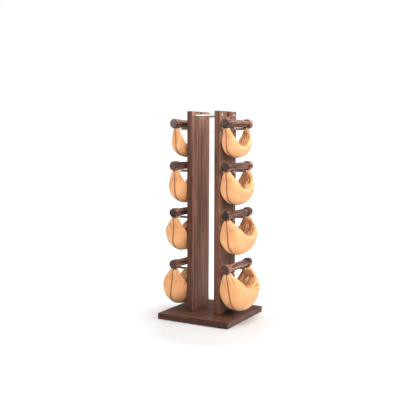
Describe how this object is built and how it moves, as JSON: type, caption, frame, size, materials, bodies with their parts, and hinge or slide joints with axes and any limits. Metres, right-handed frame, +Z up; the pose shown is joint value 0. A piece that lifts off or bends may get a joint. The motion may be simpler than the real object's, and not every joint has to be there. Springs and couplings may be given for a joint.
{
  "type": "dumbbell rack",
  "caption": "Two upright wooden boards on a square base, with pairs of steel pins that carry turned wooden handles; a leather bag of iron shot hangs from each handle and lifts off for use.",
  "frame": {"origin": "middle of the footprint, on the floor under the base", "axes": "+Z up; +X out of the right-hand board, across both boards; +Y towards the back, along the handles"},
  "size_m": [0.4186, 0.35, 0.922],
  "materials": {
    "walnut_board": "satin",
    "walnut_handle": "satin",
    "bright_steel": "satin",
    "tan_leather": "matte",
    "iron_shot": "matte",
    "rubber_pad": "matte"
  },
  "bodies": {
    "stand": {"base_plate": "walnut_board", "left_upright": "walnut_board", "right_upright": "walnut_board", "foot_front_left": "rubber_pad", "foot_front_right": "rubber_pad", "foot_back_left": "rubber_pad", "foot_back_right": "rubber_pad", "spacer_rod_front": "bright_steel", "spacer_rod_back": "bright_steel", "rod_screw_left_front": "bright_steel", "base_screw_left_front": "bright_steel", "rod_screw_left_back": "bright_steel", "base_screw_left_back": "bright_steel", "rod_screw_right_front": "bright_steel", "base_screw_right_front": "bright_steel", "rod_screw_right_back": "bright_steel", "base_screw_right_back": "bright_steel", "left_2kg_pin_front": "bright_steel", "left_2kg_pin_back": "bright_steel", "right_2kg_pin_front": "bright_steel", "right_2kg_pin_back": "bright_steel", "left_4kg_pin_front": "bright_steel", "left_4kg_pin_back": "bright_steel", "right_4kg_pin_front": "bright_steel", "right_4kg_pin_back": "bright_steel", "left_6kg_pin_front": "bright_steel", "left_6kg_pin_back": "bright_steel", "right_6kg_pin_front": "bright_steel", "right_6kg_pin_back": "bright_steel", "left_8kg_pin_front": "bright_steel", "left_8kg_pin_back": "bright_steel", "right_8kg_pin_front": "bright_steel", "right_8kg_pin_back": "bright_steel"},
    "left_2kg_handle": {"left_2kg_handle": "walnut_handle"},
    "left_2kg_bag": {"left_2kg_leather_bag": "tan_leather", "left_2kg_shot_fill": "iron_shot"},
    "right_2kg_handle": {"right_2kg_handle": "walnut_handle"},
    "right_2kg_bag": {"right_2kg_leather_bag": "tan_leather", "right_2kg_shot_fill": "iron_shot"},
    "left_4kg_handle": {"left_4kg_handle": "walnut_handle"},
    "left_4kg_bag": {"left_4kg_leather_bag": "tan_leather", "left_4kg_shot_fill": "iron_shot"},
    "right_4kg_handle": {"right_4kg_handle": "walnut_handle"},
    "right_4kg_bag": {"right_4kg_leather_bag": "tan_leather", "right_4kg_shot_fill": "iron_shot"},
    "left_6kg_handle": {"left_6kg_handle": "walnut_handle"},
    "left_6kg_bag": {"left_6kg_leather_bag": "tan_leather", "left_6kg_shot_fill": "iron_shot"},
    "right_6kg_handle": {"right_6kg_handle": "walnut_handle"},
    "right_6kg_bag": {"right_6kg_leather_bag": "tan_leather", "right_6kg_shot_fill": "iron_shot"},
    "left_8kg_handle": {"left_8kg_handle": "walnut_handle"},
    "left_8kg_bag": {"left_8kg_leather_bag": "tan_leather", "left_8kg_shot_fill": "iron_shot"},
    "right_8kg_handle": {"right_8kg_handle": "walnut_handle"},
    "right_8kg_bag": {"right_8kg_leather_bag": "tan_leather", "right_8kg_shot_fill": "iron_shot"}
  },
  "joints": [
    {"name": "left_2kg_lift_off", "type": "slide", "parent": "stand", "child": "left_2kg_handle", "axis": [-0.9903, 0, 0.1392], "range_m": [0, 0.1]},
    {"name": "left_2kg_swing", "type": "hinge", "parent": "left_2kg_handle", "child": "left_2kg_bag", "pos_m": [-0.125, 0, 0.868], "axis": [0, 1, 0], "range_deg": [-5, 30]},
    {"name": "right_2kg_lift_off", "type": "slide", "parent": "stand", "child": "right_2kg_handle", "axis": [0.9903, 0, 0.1392], "range_m": [0, 0.1]},
    {"name": "right_2kg_swing", "type": "hinge", "parent": "right_2kg_handle", "child": "right_2kg_bag", "pos_m": [0.125, 0, 0.868], "axis": [0, -1, 0], "range_deg": [-5, 30]},
    {"name": "left_4kg_lift_off", "type": "slide", "parent": "stand", "child": "left_4kg_handle", "axis": [-0.9903, 0, 0.1392], "range_m": [0, 0.1]},
    {"name": "left_4kg_swing", "type": "hinge", "parent": "left_4kg_handle", "child": "left_4kg_bag", "pos_m": [-0.128, 0, 0.682], "axis": [0, 1, 0], "range_deg": [0, 30]},
    {"name": "right_4kg_lift_off", "type": "slide", "parent": "stand", "child": "right_4kg_handle", "axis": [0.9903, 0, 0.1392], "range_m": [0, 0.1]},
    {"name": "right_4kg_swing", "type": "hinge", "parent": "right_4kg_handle", "child": "right_4kg_bag", "pos_m": [0.128, 0, 0.682], "axis": [0, -1, 0], "range_deg": [0, 30]},
    {"name": "left_6kg_lift_off", "type": "slide", "parent": "stand", "child": "left_6kg_handle", "axis": [-0.9903, 0, 0.1392], "range_m": [0, 0.1]},
    {"name": "left_6kg_swing", "type": "hinge", "parent": "left_6kg_handle", "child": "left_6kg_bag", "pos_m": [-0.129, 0, 0.474], "axis": [0, 1, 0], "range_deg": [0, 26]},
    {"name": "right_6kg_lift_off", "type": "slide", "parent": "stand", "child": "right_6kg_handle", "axis": [0.9903, 0, 0.1392], "range_m": [0, 0.1]},
    {"name": "right_6kg_swing", "type": "hinge", "parent": "right_6kg_handle", "child": "right_6kg_bag", "pos_m": [0.129, 0, 0.474], "axis": [0, -1, 0], "range_deg": [0, 26]},
    {"name": "left_8kg_lift_off", "type": "slide", "parent": "stand", "child": "left_8kg_handle", "axis": [-0.9903, 0, 0.1392], "range_m": [0, 0.1]},
    {"name": "left_8kg_swing", "type": "hinge", "parent": "left_8kg_handle", "child": "left_8kg_bag", "pos_m": [-0.131, 0, 0.2415], "axis": [0, 1, 0], "range_deg": [0, 24]},
    {"name": "right_8kg_lift_off", "type": "slide", "parent": "stand", "child": "right_8kg_handle", "axis": [0.9903, 0, 0.1392], "range_m": [0, 0.1]},
    {"name": "right_8kg_swing", "type": "hinge", "parent": "right_8kg_handle", "child": "right_8kg_bag", "pos_m": [0.131, 0, 0.2415], "axis": [0, -1, 0], "range_deg": [0, 24]}
  ]
}
